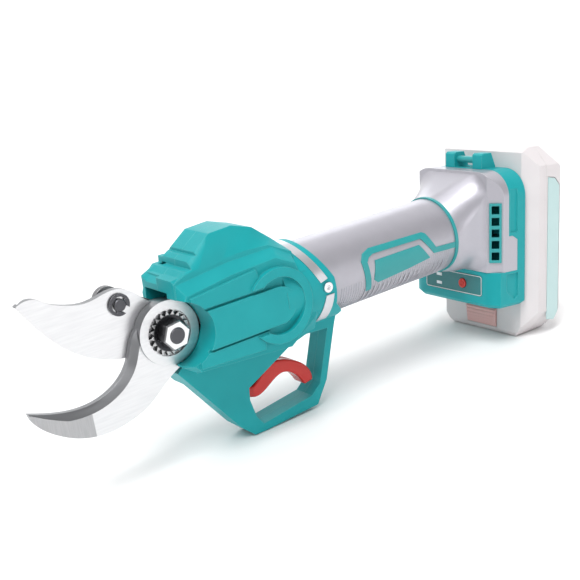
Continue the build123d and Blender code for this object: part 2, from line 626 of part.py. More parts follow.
def head_half(way):
    """One shell; way is -1 for the user's left and +1 for the right."""
    side_y = HEAD_SIDE_Y[way]
    nose_back = 3.0 if way > 0 else 0.0  # the right shell's nose is set back
    with BuildPart() as made:
        with BuildSketch(side(0)):
            with BuildLine():
                Polyline(*HEAD_TOP, close=True)
            make_face()
        extrude(amount=-HEAD_TOP_Y * way)
        for outline, at in ((HEAD_TOP, HEAD_TOP_Y), (HEAD_TOP_FOOT, 16.0)):
            with BuildSketch(side(at * way)):
                with BuildLine():
                    Polyline(*outline, close=True)
                make_face()
        loft(ruled=True)
        with BuildSketch(side(0)):
            with BuildLine():
                Polyline(*[(x + (nose_back if x < 8 else 0), z) for x, z in HEAD_MID], close=True)
            make_face()
        extrude(amount=-HEAD_MID_Y * way)
        for outline, at in ((HEAD_MID, HEAD_MID_Y), (HEAD_SIDE, side_y)):
            with BuildSketch(side(at * way)):
                with BuildLine():
                    Polyline(*[(x + (nose_back if x < 8 else 0), z) for x, z in outline], close=True)
                make_face()
        loft(ruled=True)
        # web and guard
        with BuildSketch(side(0)):
            with BuildLine():
                Polyline(*WEB, close=True)
            make_face()
            with BuildLine():
                Polyline(*GUARD_HOLE, close=True)
            make_face(mode=Mode.SUBTRACT)
        extrude(amount=-WEB_Y * way)
        # raised bars, the keyhole ring and the bar that ends in it
        with BuildSketch(side(side_y * way)):
            with BuildLine():
                Polyline((6.5, 10.0), (47.5, 10.0), (44.5, 20.6), (7.0, 16.8), close=True)
            make_face()
            with BuildLine():
                Polyline((7.5, -11.8), (47.5, -11.8), (44.5, -15.0), (43.5, -20.6), (6.5, -18.2), close=True)
            make_face()
        extrude(amount=-1.6 * way)
        with BuildSketch(side(side_y * way)):
            with Locations(BOSS_AT):
                Circle(BOSS_R)
                Circle(14.6, mode=Mode.SUBTRACT)
            with Locations((40.0, BOSS_AT[1])):
                Rectangle(12.0, 24.0, mode=Mode.SUBTRACT)
        extrude(amount=-3.3 * way)
        with BuildSketch(side(side_y * way)):
            with Locations(BOSS_AT):
                Circle(9.6)
            with Locations((BOSS_AT[0] - 22.0, BOSS_AT[1])):
                Rectangle(44.0, 19.2)
        extrude(amount=-2.4 * way)
        if way > 0:
            # cover over the sector gear
            with BuildSketch(side(0)):
                Circle(CHAMBER_R + 2.6)
                with BuildLine():
                    Polyline((-40.0, -50.0), (2.0, -50.0), (2.0, 15.5), (5.4, 24.0), (14.0, 31.2),
                             (40.0, 31.2),
                             (40.0, 50.0), (-40.0, 50.0), close=True)
                make_face(mode=Mode.SUBTRACT)
                with BuildLine():
                    Polyline((0.0, -20.8), (31.0, -62.5), (-20.0, -60.7), (-20.0, -20.8), close=True)
                make_face(mode=Mode.SUBTRACT)
            extrude(amount=-16.4)
        add(wrapped(NECK_OUT, GRIP_R, NECK_R))
        for outline in (COLLAR_UP, COLLAR_LOW):
            add(wrapped(outline, COLLAR_SEAT_R, NECK_R + 2), mode=Mode.SUBTRACT)
        split(bisect_by=Plane(origin=PIVOT, z_dir=(0, way, 0)), keep=Keep.TOP)
        # steps on the nose
        with BuildSketch(side(0)):
            with BuildLine():
                Polyline(*NOSE_STEP, close=True)
            make_face()
        extrude(amount=30, both=True, mode=Mode.SUBTRACT)
        # chamber for the blade and the sector, open at the front; only the right shell has the sector's room
        with BuildSketch(side(CHAMBER_Y[1])):
            with BuildLine():
                if way > 0:
                    rim = CenterArc((0, 0), CHAMBER_R, -60, 123)
                    room_from, room_to = rim @ 1, rim @ 0
                else:
                    room_from, room_to = (14.0, 14.0), (14.0, -14.0)
                    Line(room_to, room_from)
                Polyline(room_from, (7.0, 17.5), (2.0, 15.0), (-40.0, 15.0), (-40.0, -30.0), (-6.0, -30.0),
                         (3.0, -20.5), room_to)
            make_face()
            Circle(19.0)
        extrude(amount=CHAMBER_Y[1] - CHAMBER_Y[0], mode=Mode.SUBTRACT)
        with BuildSketch(side(HOOK_Y[1] + 0.2)):
            with BuildLine():
                Polyline((-20.0, -37.0), (-6.0, -25.0), (0.0, -20.0), (24.0, -19.9), (38.4, -21.4),
                         (38.4, -13.1),
                         (14.0, -7.6), close=True)
            make_face()
        extrude(amount=HOOK_Y[1] + 0.2 - HOOK_Y[0], mode=Mode.SUBTRACT)
        # rooms on the handle axis: pinion, bearings, gearbox and tube
        for x_from, x_to, radius in ((14.0, 33.0, 9.9), (33.0, 57.0, 10.0), (57.0, 62.0, 8.0),
        (62.0, 70.0, 18.85),
                                     (TUBE_FROM, 110.0, GRIP_R)):
            with BuildSketch(across(x_from)):
                Circle(radius)
            extrude(amount=x_to - x_from, mode=Mode.SUBTRACT)
        # hollow above the gears
        with BuildSketch(side(0)):
            with BuildLine():
                Polyline((29.5, 28.5), (30.5, 38.6), (41.0, 39.3), (51.0, 37.2), (51.0, 27.0),
                         (44.0, 13.5), (37.0, 13.5),
                         close=True)
            make_face()
        extrude(amount=8.0, both=True, mode=Mode.SUBTRACT)
        # room for the trigger's root and its switch, and a slot above the lever
        with BuildSketch(side(0)):
            for outline in (TRIGGER_ROOM, TRIGGER_SLOT):
                with BuildLine():
                    Polyline(*outline, close=True)
                make_face()
        extrude(amount=5.4, both=True, mode=Mode.SUBTRACT)
        with BuildSketch(side(0)):
            with Locations(TRIGGER_AT):
                Circle(1.5)
        extrude(amount=6.0, both=True, mode=Mode.SUBTRACT)
        # screw holes
        with BuildSketch(side(0)):
            with Locations(*SCREWS_AT):
                Circle(1.5 if way < 0 else 1.6)
        extrude(amount=8.2 if way < 0 else 40, both=True, mode=Mode.SUBTRACT)
        with BuildSketch(side(0)):
            with Locations(COLLAR_SCREW):
                Circle(1.5)
        extrude(amount=40, both=True, mode=Mode.SUBTRACT)
        with BuildSketch(side(23.5 * way)):
            with Locations(COLLAR_SCREW):
                Circle(2.8)
        extrude(amount=-4 * way, mode=Mode.SUBTRACT)
        if way < 0:
            with BuildSketch(side(0)):
                with Locations(*HOOK_SCREWS):
                    Circle(2.0)
            extrude(amount=15.5, mode=Mode.SUBTRACT)
            with BuildSketch(side(0)):
                with Locations(*HOOK_SCREWS):
                    Circle(3.4)
            extrude(amount=-HOOK_Y[1], mode=Mode.SUBTRACT)
            # round opening over the hub and its nut
            with BuildSketch(side(CHAMBER_Y[0])):
                Circle(16.6)
            extrude(amount=20, mode=Mode.SUBTRACT)
        else:
            # room for the sector's upper edge when the blade is shut
            with BuildSketch(side(SECTOR_Y[1] + 0.3)):
                with BuildLine():
                    Polyline((-3.4, 12.4), (13.0, 29.2), (15.6, 27.6), (8.0, 15.0), (0.0, 8.0), close=True)
                make_face()
            extrude(amount=SECTOR_Y[1] - SECTOR_Y[0] + 0.6, mode=Mode.SUBTRACT)
            # recesses for the screw heads
            with BuildSketch(side(9.0)):
                with Locations(*SCREWS_AT):
                    Circle(3.1)
            extrude(amount=-30, mode=Mode.SUBTRACT)
            with BuildSketch(side(CHAMBER_Y[1])):
                Circle(9.7)
            extrude(amount=-0.9, mode=Mode.SUBTRACT)
            with BuildSketch(side(CHAMBER_Y[1])):
                Circle(7.6)
            extrude(amount=-12, mode=Mode.SUBTRACT)
    return made.part


for name, way in (("head_shell_left", -1), ("head_shell_right", 1)):
    shell = head_half(way)
    shell.label = name
    export_step(shell, f"parts/{name}.step")


# long self-tapping screws from the right shell
with BuildPart() as head_screws:
    with BuildSketch(side(9.0)):
        with Locations(*SCREWS_AT):
            Circle(2.8)
    extrude(amount=-2.2)
    with BuildSketch(side(9.0)):
        with Locations(*SCREWS_AT):
            Circle(1.5)
    extrude(amount=9.0 + 8.0)
    with BuildSketch(side(11.2)):
        with Locations(*SCREWS_AT):
            RegularPolygon(1.4, 6)
    extrude(amount=1.3, mode=Mode.SUBTRACT)
head_screws.part.label = "head_screws"
export_step(head_screws.part, "parts/head_screws.step")

# two screws hold the hook's tail to the left shell
with BuildPart() as hook_screws:
    with BuildSketch(side(HOOK_Y[1] + 1.8)):
        with Locations(*HOOK_SCREWS):
            Circle(3.2)
    extrude(amount=1.8)
    with BuildSketch(side(HOOK_Y[1])):
        with Locations(*HOOK_SCREWS):
            Circle(2.0)
    extrude(amount=13.0)
hook_screws.part.label = "hook_screws"
export_step(hook_screws.part, "parts/hook_screws.step")

# ---------------------------------------------------------------- trigger and its switch
# Curved lever with a finger groove along its top and a hooked tip.
TRIGGER_TOP = [(33.0, -38.5), (38.6, -45.4), (44.5, -43.4), (54.5, -36.2), (62.8, -36.2), (73.2, -41.0),
               (80.0, -48.5),
               (80.6, -54.0)]
TRIGGER_UNDER = [(80.6, -54.0), (75.0, -54.9), (73.3, -51.8), (67.8, -45.6), (62.5, -43.8), (55.4, -46.2),
                 (46.6, -50.6), (39.5, -49.5), (36.0, -48.0)]
with BuildPart() as trigger:
    with BuildSketch(side(5.0)):
        with BuildLine():
            top = Spline(*TRIGGER_TOP[1:])
            Line(top @ 1, TRIGGER_UNDER[1])
            under = Spline(*TRIGGER_UNDER[1:-1])
            Polyline(under @ 1, (36.4, -48.4), (36.4, -45.0), top @ 0)
        make_face()
    extrude(amount=10.0)
    # root inside the shells: hub on the pin and the arm that works the switch
    with BuildSketch(side(4.0)):
        with BuildLine():
            Polyline((41.5, -43.0), (36.0, -40.6), (33.0, -37.6), (31.2, -37.6), (31.2, -41.0),
                     (34.0, -47.0),
                     (41.5, -49.0), close=True)
        make_face()
    extrude(amount=8.0)
    with BuildSketch(side(6.0)):
        with BuildLine():
            Polyline((30.0, -30.0), (42.5, -30.0), (42.5, -58.0), (30.0, -56.0), close=True)
        make_face()
    extrude(amount=2.0, mode=Mode.SUBTRACT)
    with BuildSketch(side(-4.0)):
        with BuildLine():
            Polyline((30.0, -30.0), (42.5, -30.0), (42.5, -58.0), (30.0, -56.0), close=True)
        make_face()
    extrude(amount=2.0, mode=Mode.SUBTRACT)
    with BuildSketch(side(10.0)):
        with Locations(TRIGGER_AT):
            Circle(1.55)
    extrude(amount=20.0, mode=Mode.SUBTRACT)
    # finger groove
    with BuildLine(side(0)) as groove_path:
        Spline(*[(x, z + 1.0) for x, z in TRIGGER_TOP[2:-2]])
    with BuildSketch(Plane(origin=groove_path.line @ 0, x_dir=(0, 1, 0), z_dir=groove_path.line % 0)):
        Ellipse(3.4, 2.2)
    sweep(path=groove_path.line, mode=Mode.SUBTRACT)
trigger.part.label = "trigger"
export_step(trigger.part, "parts/trigger.step")

trigger_pin = cross_pin(TRIGGER_AT[0], TRIGGER_AT[1], -6.0, 6.0, 1.5)
trigger_pin.label = "trigger_pin"
export_step(trigger_pin, "parts/trigger_pin.step")

SWITCH_X = (22.0, 29.4)
with BuildPart() as trigger_switch:
    with BuildSketch(side(3.6)):
        with BuildLine():
            Polyline((SWITCH_X[0], -43.0), (SWITCH_X[1], -43.0), (SWITCH_X[1], -36.6),
                     (SWITCH_X[0], -37.4), close=True)
        make_face()
    extrude(amount=7.2)
    with BuildSketch(across(SWITCH_X[0] + 4.5)):
        with Locations((0, -39.2)):
            Rectangle(2.4, 2.4)
    extrude(amount=4.0, mode=Mode.SUBTRACT)
trigger_switch.part.label = "trigger_switch"
export_step(trigger_switch.part, "parts/trigger_switch.step")

with BuildPart() as switch_plunger:
    with BuildSketch(across(SWITCH_X[0] + 5.7)):
        with Locations((0, -39.2)):
            Rectangle(2.0, 2.0)
    extrude(amount=3.3)
switch_plunger.part.label = "switch_plunger"
export_step(switch_plunger.part, "parts/switch_plunger.step")

# ---------------------------------------------------------------- trim on the tube
handle_ring = tube(FLARE_FROM - 1.8, FLARE_FROM, GRIP_R + 0.9, GRIP_R)
handle_ring.label = "handle_ring"
export_step(handle_ring, "parts/handle_ring.step")

# moulded frame line and name plate on both sides of the grip, standing 0.5 proud
FRAME_LINE = [(113.0, -11.5), (110.6, 5.7), (112.9, 9.3), (118.2, 11.0), (156.0, 9.9), (158.0, 8.8),
              (163.6, -0.4),
              (178.8, -1.4), (178.8, -4.6), (161.9, -3.4), (153.7, 6.9), (119.3, 7.8), (116.1, 6.6),
              (114.4, 4.5),
              (116.6, -11.5)]
BADGE = [(119.8, 4.2), (151.6, 4.0), (158.9, -5.2), (142.5, -7.0), (129.5, -8.0), (121.0, -8.6),
         (118.0, -6.3)]
with BuildPart() as grip_frames:
    add(wrapped(FRAME_LINE, GRIP_R, GRIP_R + 0.5))
grip_frames.part.label = "grip_frames"
export_step(grip_frames.part, "parts/grip_frames.step")

with BuildPart() as grip_badges:
    add(wrapped(BADGE, GRIP_R, GRIP_R + 0.5))
grip_badges.part.label = "grip_badges"
export_step(grip_badges.part, "parts/grip_badges.step")

# ---------------------------------------------------------------- rear housing and foot
FACE_U = 12.5
HOUSING_PLAN = [(FACE_U, -27.2), (19.4, -FOOT_HALF), (FOOT_BACK, -FOOT_HALF), (FOOT_BACK, FOOT_HALF),
                (19.4, FOOT_HALF), (FACE_U, 27.2)]
FOOT_PLAN = [(FACE_U + 0.6, -26.8), (17.0, -FOOT_HALF), (FOOT_BACK, -FOOT_HALF), (FOOT_BACK, FOOT_HALF),
             (17.0, FOOT_HALF), (FACE_U + 0.6, 26.8)]
HOUSING_TOP = 35.0
ARCH_R = 15.0
# side-view line between the silver housing and the teal back: it steps to the rear low down
BACK_LINE = [(23.4, 50.0), (60.0, 50.0), (60.0, FOOT_SPLIT), (30.5, FOOT_SPLIT), (30.5, -4.5), (26.5, -2.0),
             (23.4, -2.0)]


def leaning_block(plan, w_from, w_to, inset=0.0):
    """The plan outline raised along the pack's length and rounded to the arch, less inset all round."""
    with BuildPart() as made:
        with BuildSketch(pack_level(w_from)):
            with BuildLine():
                Polyline(*plan, close=True)
            make_face()
            if inset:
                offset(amount=-inset, mode=Mode.REPLACE)
        extrude(amount=w_to - w_from)
        with BuildSketch(pack_face(-10)):
            with Locations((0, HOUSING_TOP - 60.0)):
                RectangleRounded(2 * (FOOT_HALF - inset), 120 - 2 * inset, ARCH_R - inset)
        extrude(amount=80, mode=Mode.INTERSECT)
    return made.part


def back_region():
    """Everything behind the line where the silver housing stops."""
    with BuildPart() as made:
        with BuildSketch(pack_side(0)):
            with BuildLine():
                Polyline(*BACK_LINE, close=True)
            make_face()
        extrude(amount=60, both=True)
    return made.part


VENT_TOP, VENT_BOTTOM = 17.5, -16.5
VENT_PITCH = 6.6


def vent_plane(way):
    """On the slanting facet of the housing.

    Sketch x runs to the rear along the facet, sketch y up the pack.
    """
    a = PACK_ORIGIN + PACK_X * FACE_U + Vector(0, 27.2 * way, 0)
    b = PACK_ORIGIN + PACK_X * 19.4 + Vector(0, FOOT_HALF * way, 0)
    along = (b - a).normalized()
    return Plane(origin=(a + b) / 2, x_dir=along, z_dir=along.cross(PACK_Z))


with BuildPart() as rear_housing:
    add(leaning_block(HOUSING_PLAN, FOOT_SPLIT, 60.0))
    add(back_region(), mode=Mode.SUBTRACT)
    # trumpet from the tube to the square face
    with BuildSketch(across(FLARE_FROM)):
        RectangleRounded(44.2, 44.2, 22.0)
    with BuildSketch(across(FLARE_FROM + 4.5)):
        RectangleRounded(47.0, 47.0, 21.0)
    with BuildSketch(pack_face(9.3)):
        with Locations((0, 4.6)):
            RectangleRounded(50.5, 52.6, 15.0)
    with BuildSketch(pack_face(FACE_U + 0.1)):
        with Locations((0, 5.4)):
            RectangleRounded(54.0, 55.6, 9.0)
    loft()
    with BuildSketch(pack_side(0)):
        with Locations((10.0, FOOT_SPLIT - 20)):
            Rectangle(80, 40)
    extrude(amount=60, both=True, mode=Mode.SUBTRACT)
    # hollow
    add(leaning_block(HOUSING_PLAN, FOOT_SPLIT - 2.0, 60.0, 2.2), mode=Mode.SUBTRACT)
    with BuildSketch(across(FLARE_FROM - 1)):
        Circle(GRIP_R)
    extrude(amount=GRIP_END - FLARE_FROM + 1, mode=Mode.SUBTRACT)
    with BuildSketch(across(GRIP_END)):
        Circle(GRIP_R - GRIP_WALL)
    extrude(amount=18, mode=Mode.SUBTRACT)
    # windows for the vent strips
    for way in (-1, 1):
        with BuildSketch(vent_plane(way)):
            with Locations((0, (VENT_TOP + VENT_BOTTOM) / 2)):
                Rectangle(6.9, VENT_TOP - VENT_BOTTOM)
        extrude(amount=5, both=True, mode=Mode.SUBTRACT)
rear_housing.part.label = "rear_housing"
export_step(rear_housing.part, "parts/rear_housing.step")

with BuildPart() as vent_strips:
    for way in (-1, 1):
        with BuildSketch(vent_plane(way)):
            with Locations((0, (VENT_TOP + VENT_BOTTOM) / 2)):
                Rectangle(6.9, VENT_TOP - VENT_BOTTOM)
                with GridLocations(1, VENT_PITCH, 1, 5):
                    Rectangle(4.3, 4.7, mode=Mode.SUBTRACT)
        extrude(amount=0.9, both=True)
vent_strips.part.label = "vent_strips"
export_step(vent_strips.part, "parts/vent_strips.step")

RAIL_U = 30.6
RAIL_NECK, RAIL_FLANGE = 20.0, 24.0
RAIL_TOP, FOOT_LOW = 28.0, -43.6
PANEL_W = -31.2
POWER_AT = (-7.6, -31.2)
LEDS_AT = [(11.7, -28.4), (11.7, -33.6)]
PANEL_LEAN_U = FACE_U + 0.6
with BuildPart() as pack_foot:
    add(leaning_block(HOUSING_PLAN, FOOT_SPLIT, 60.0))
    with BuildSketch(pack_side(0)):
        with BuildLine():
            Polyline(*BACK_LINE, close=True)
        make_face()
    extrude(amount=60, both=True, mode=Mode.INTERSECT)
    with BuildSketch(pack_level(FOOT_LOW)):
        with BuildLine():
            Polyline(*FOOT_PLAN, close=True)
        make_face()
    extrude(amount=FOOT_SPLIT - FOOT_LOW)
    chamfer(pack_foot.faces().sort_by(Axis(PACK_ORIGIN, PACK_Z))[0].edges(), length=2.0)
    # lugs of the lanyard loop
    with BuildSketch(pack_side(14.4)):
        with BuildLine():
            Polyline((23.4, 30.0), (23.4, HOUSING_TOP), (22.0, HOUSING_TOP), (22.0, 43.0), (23.5, 44.0),
                     (30.0, 44.0),
                     (33.5, 36.0), (33.5, 30.0), close=True)
        make_face()
    extrude(amount=28.8)
    with BuildSketch(pack_side(7.2)):
        with BuildLine():
            Polyline((20.0, HOUSING_TOP + 0.2), (20.0, 50.0), (40.0, 50.0),
                     (40.0, HOUSING_TOP + 0.2), close=True)
        make_face()
    extrude(amount=14.4, mode=Mode.SUBTRACT)
    with BuildSketch(pack_side(9.0)):
        with Locations((26.0, 39.8)):
            Circle(2.0)
    extrude(amount=18.0, mode=Mode.SUBTRACT)
    # inside: room for the cells' leads and the button board
    with BuildSketch(pack_level(FOOT_LOW + 2.2)):
        with BuildLine():
            Polyline((15.4, -25.0), (18.6, -31.6), (RAIL_U - 3.4, -31.6), (RAIL_U - 3.4, 31.6), (18.6, 31.6),
                     (15.4, 25.0), close=True)
        make_face()
    extrude(amount=60, mode=Mode.SUBTRACT)
    # T-slot that the pack's rails run in, open at the bottom
    with BuildSketch(pack_level(FOOT_LOW - 1)):
        with Locations(((RAIL_U + FOOT_BACK) / 2 + 0.5, 0)):
            Rectangle(FOOT_BACK - RAIL_U + 1, 2 * RAIL_NECK)
        with Locations((RAIL_U + 1.7, 0)):
            Rectangle(3.4, 2 * RAIL_FLANGE)
    extrude(amount=RAIL_TOP + 0.4 - FOOT_LOW + 1, mode=Mode.SUBTRACT)
    # shallow side recesses
    for way in (-1, 1):
        with BuildSketch(pack_side(FOOT_HALF * way)):
            with BuildLine():
                Polyline((21.8, -24.0), (31.2, -24.0), (31.2, -37.5), (28.6, -39.4),
                         (21.8, -34.0), close=True)
            make_face()
            with BuildLine():
                Polyline((24.6, 24.5), (30.6, 24.5), (30.6, 0.0), (24.6, 0.0), close=True)
            make_face()
        extrude(amount=0.8 * way, mode=Mode.SUBTRACT)
    # front face: seats for the panel, the button and the two lights
    with BuildSketch(pack_face(PANEL_LEAN_U)):
        with Locations((0, PANEL_W)):
            RectangleRounded(46.0, 12.4, 1.6)
    extrude(amount=0.6, mode=Mode.SUBTRACT)
    with BuildSketch(pack_face(PANEL_LEAN_U)):
        with Locations(POWER_AT):
            Circle(3.0)
        with Locations(*LEDS_AT):
            Rectangle(4.4, 1.8)
    extrude(amount=6.0, mode=Mode.SUBTRACT)
    # terminal block's window in the slot's floor
    with BuildSketch(pack_face(RAIL_U - 8)):
        with Locations((0, 14.0)):
            Rectangle(33.0, 14.0)
    extrude(amount=10.0, mode=Mode.SUBTRACT)
pack_foot.part.label = "pack_foot"
export_step(pack_foot.part, "parts/pack_foot.step")

with BuildPart() as lanyard_bar:
    with BuildSketch(pack_side(9.0)):
        with Locations((26.0, 39.8)):
            Circle(2.0)
    extrude(amount=18.0)
lanyard_bar.part.label = "lanyard_bar"
export_step(lanyard_bar.part, "parts/lanyard_bar.step")

# ---------------------------------------------------------------- control panel
with BuildPart() as control_panel:
    with BuildSketch(pack_face(PANEL_LEAN_U - 0.1)):
        with Locations((0, PANEL_W)):
            RectangleRounded(45.8, 12.2, 1.6)
        with Locations(POWER_AT):
            Circle(3.0, mode=Mode.SUBTRACT)
        with Locations(*LEDS_AT):
            Rectangle(4.4, 1.8, mode=Mode.SUBTRACT)
    extrude(amount=0.7)
control_panel.part.label = "control_panel"
export_step(control_panel.part, "parts/control_panel.step")

# printed border, stuck on the panel
with BuildPart() as panel_border:
    with BuildSketch(pack_face(PANEL_LEAN_U - 0.25)):
        with Locations((0, PANEL_W)):
            RectangleRounded(45.4, 11.6, 1.5)
            RectangleRounded(44.6, 10.8, 1.1, mode=Mode.SUBTRACT)
    extrude(amount=0.15)
panel_border.part.label = "panel_border"
export_step(panel_border.part, "parts/panel_border.step")

with BuildPart() as led_windows:
    with BuildSketch(pack_face(PANEL_LEAN_U - 0.2)):
        with Locations(*LEDS_AT):
            Rectangle(4.3, 1.7)
    extrude(amount=2.6)
led_windows.part.label = "led_windows"
export_step(led_windows.part, "parts/led_windows.step")

with BuildPart() as power_button:
    with BuildSketch(pack_face(PANEL_LEAN_U - 0.7)):
        with Locations(POWER_AT):
            Circle(2.7)
    extrude(amount=4.4)
    with BuildSketch(pack_face(PANEL_LEAN_U - 0.7)):
        with Locations(POWER_AT):
            Circle(1.7)
            Circle(1.25, mode=Mode.SUBTRACT)
            with Locations((0, 1.3)):
                Rectangle(1.3, 1.4, mode=Mode.SUBTRACT)
            with Locations((0, 1.2)):
                Rectangle(0.4, 1.8)
    extrude(amount=0.25, mode=Mode.SUBTRACT)
power_button.part.label = "power_button"
export_step(power_button.part, "parts/power_button.step")

# board behind the panel, with the button's switch and the two lamps
BUTTON_BOARD_U = PANEL_LEAN_U + 5.4
with BuildPart() as button_board:
    with BuildSketch(pack_face(BUTTON_BOARD_U)):
        with Locations((0, PANEL_W - 0.5)):
            Rectangle(46.0, 14.0)
    extrude(amount=1.2)
    with BuildSketch(pack_face(BUTTON_BOARD_U - 1.0)):
        with Locations(POWER_AT):
            Rectangle(4.4, 4.4)
        with Locations(*LEDS_AT):
            Rectangle(3.0, 1.6)
    extrude(amount=1.0)
    with BuildSketch(pack_face(BUTTON_BOARD_U + 1.2)):
        with GridLocations(8.0, 6.0, 4, 2):
            with Locations((4.0, PANEL_W)):
                Rectangle(3.4, 2.0)
    extrude(amount=1.0)
button_board.part.label = "button_board"
export_step(button_board.part, "parts/button_board.step")

# motor controller, upright on the middle plane of the grip
BOARD_X = (140.0, 174.0)
with BuildPart() as controller_board:
    with BuildSketch(side(0.8)):
        with Locations((sum(BOARD_X) / 2, 0)):
            Rectangle(BOARD_X[1] - BOARD_X[0], 36.0)
    extrude(amount=1.6)
    with BuildSketch(side(-0.8)):
        with Locations((sum(BOARD_X) / 2, 0)):
            with GridLocations(10.5, 11.0, 3, 2):
                Rectangle(6.0, 7.0)
    extrude(amount=1.8)
    with BuildSketch(side(2.8)):
        with Locations((BOARD_X[0] + 8.0, 0)):
            Rectangle(7.0, 7.0)
        with GridLocations(3.4, 8.0, 4, 3):
            with Locations((BOARD_X[0] + 18.0, 0)):
                Rectangle(1.8, 3.2)
    extrude(amount=2.0)
controller_board.part.label = "controller_board"
export_step(controller_board.part, "parts/controller_board.step")

with BuildPart() as board_capacitors:
    for z in (-9.5, 9.5):
        with BuildSketch(side(0.8)):
            with Locations((BOARD_X[1] - 5.0, z)):
                Circle(4.0)
        extrude(amount=-9.0)
board_capacitors.part.label = "board_capacitors"
export_step(board_capacitors.part, "parts/board_capacitors.step")

# two rails that hold the board in the tube
with BuildPart() as board_rails:
    for z in (-17.2, 17.2):
        with BuildSketch(across(BOARD_X[0] + 2.0)):
            with Locations((0, z)):
                Rectangle(5.0, 3.0)
            Rectangle(1.7, 36.1, mode=Mode.SUBTRACT)
        extrude(amount=BOARD_X[1] - BOARD_X[0] - 4.0)
board_rails.part.label = "board_rails"
export_step(board_rails.part, "parts/board_rails.step")

# ---------------------------------------------------------------- terminals
TERMINAL_Y = [-12.0, -6.0, 0.0, 6.0, 12.0]
with BuildPart() as terminal_block:
    with BuildSketch(pack_face(RAIL_U - 7.0)):
        with Locations((0, 14.0)):
            Rectangle(32.6, 13.6)
    extrude(amount=6.6)
terminal_block.part.label = "terminal_block"
export_step(terminal_block.part, "parts/terminal_block.step")

with BuildPart() as terminal_blades:
    with BuildSketch(pack_face(RAIL_U - 0.4)):
        with Locations(*[(y, 14.0) for y in TERMINAL_Y]):
            Rectangle(0.8, 10.0)
    extrude(amount=5.0)
terminal_blades.part.label = "terminal_blades"
export_step(terminal_blades.part, "parts/terminal_blades.step")

# ---------------------------------------------------------------- battery pack
PACK_FRONT = FOOT_BACK + 0.4
PACK_JOIN = 50.0
PACK_FRONT_VIEW = [(-29.0, 46.5), (29.0, 46.5), (PACK_HALF, 36.0), (PACK_HALF, -50.0), (25.0, -66.0),
                   (-25.0, -66.0), (-PACK_HALF, -50.0), (-PACK_HALF, 36.0)]
PACK_SIDE_VIEW = [(PACK_FRONT, 44.0), (45.0, 46.5), (54.0, 46.5), (PACK_BACK, 30.0), (PACK_BACK, -51.0),
                  (59.5, -64.0), (39.5, -66.0), (PACK_FRONT, -63.0)]
PACK_PLAN = [(PACK_FRONT, -30.5), (44.5, -PACK_HALF), (62.4, -PACK_HALF), (PACK_BACK, -34.0),
             (PACK_BACK, 34.0), (62.4, PACK_HALF), (44.5, PACK_HALF), (PACK_FRONT, 30.5)]
WALL = 2.0
CELL_R = 9.1
CELL_U = 51.6
CELL_W = [-44.0 + 18.4 * k for k in range(5)]


def pack_block(u_from, u_to, inset):
    """The pack's outer shape between two depths, less inset on every side."""
    with BuildPart() as made:
        with BuildSketch(pack_face(u_from)):
            with BuildLine():
                Polyline(*PACK_FRONT_VIEW, close=True)
            make_face()
            if inset:
                offset(amount=-inset, kind=Kind.INTERSECTION, mode=Mode.REPLACE)
        extrude(amount=u_to - u_from)
        with BuildSketch(pack_side(0)):
            with BuildLine():
                Polyline(*PACK_SIDE_VIEW, close=True)
            make_face()
            if inset:
                offset(amount=-inset, kind=Kind.INTERSECTION, mode=Mode.REPLACE)
        extrude(amount=60, both=True, mode=Mode.INTERSECT)
        with BuildSketch(pack_level(-80)):
            with BuildLine():
                Polyline(*PACK_PLAN, close=True)
            make_face()
            if inset:
                offset(amount=-inset, kind=Kind.INTERSECTION, mode=Mode.REPLACE)
        extrude(amount=160, mode=Mode.INTERSECT)
        # the underside is level with the guard, so that the tool stands on both
        with BuildSketch(level(-69.5 - 20.0)):
            with Locations((230.0, 0)):
                Rectangle(120, 120)
        extrude(amount=20 + inset, mode=Mode.SUBTRACT)
    return made.part


LATCH_W = (-62.0, -50.5)
with BuildPart() as pack_front_shell:
    add(pack_block(PACK_FRONT, PACK_JOIN, 0))
    # rails in the foot's T-slot
    with BuildSketch(pack_level(FOOT_LOW + 1.0)):
        with Locations(((RAIL_U + PACK_FRONT) / 2 + 0.2, 0)):
            Rectangle(PACK_FRONT - RAIL_U - 0.2, 2 * RAIL_NECK - 0.8)
        with Locations((RAIL_U + 1.7, 0)):
            Rectangle(2.6, 2 * RAIL_FLANGE - 0.8)
    extrude(amount=RAIL_TOP - FOOT_LOW - 1.0)
    add(pack_block(PACK_FRONT, PACK_JOIN + 1, WALL), mode=Mode.SUBTRACT)
    # slots for the tool's blades, open at the top
    with BuildSketch(pack_face(RAIL_U - 1)):
        with Locations(*[(y, 20.0) for y in TERMINAL_Y]):
            Rectangle(2.0, 30.0)
    extrude(amount=6.8, mode=Mode.SUBTRACT)
    # window for the release button
    with BuildSketch(pack_face(PACK_FRONT - 1)):
        with Locations((0, sum(LATCH_W) / 2)):
            Rectangle(24.0, LATCH_W[1] - LATCH_W[0])
    extrude(amount=5.0, mode=Mode.SUBTRACT)
pack_front_shell.part.label = "pack_front_shell"
export_step(pack_front_shell.part, "parts/pack_front_shell.step")

SIDE_INSET = [(45.0, 24.0), (48.5, 29.5), (58.0, 28.5), (62.0, 24.0), (62.0, -52.0), (58.5, -57.0),
              (52.6, -56.0), (45.0, -47.0)]
with BuildPart() as pack_rear_shell:
    add(pack_block(PACK_JOIN, PACK_BACK, 0))
    add(pack_block(PACK_JOIN - 1, PACK_BACK, WALL), mode=Mode.SUBTRACT)
    for way in (-1, 1):
        with BuildSketch(pack_side(PACK_HALF * way)):
            with BuildLine():
                Polyline(*[(max(u, PACK_JOIN + 1.5), w) for u, w in SIDE_INSET], close=True)
            make_face()
        extrude(amount=0.8 * way, mode=Mode.SUBTRACT)
pack_rear_shell.part.label = "pack_rear_shell"
export_step(pack_rear_shell.part, "parts/pack_rear_shell.step")

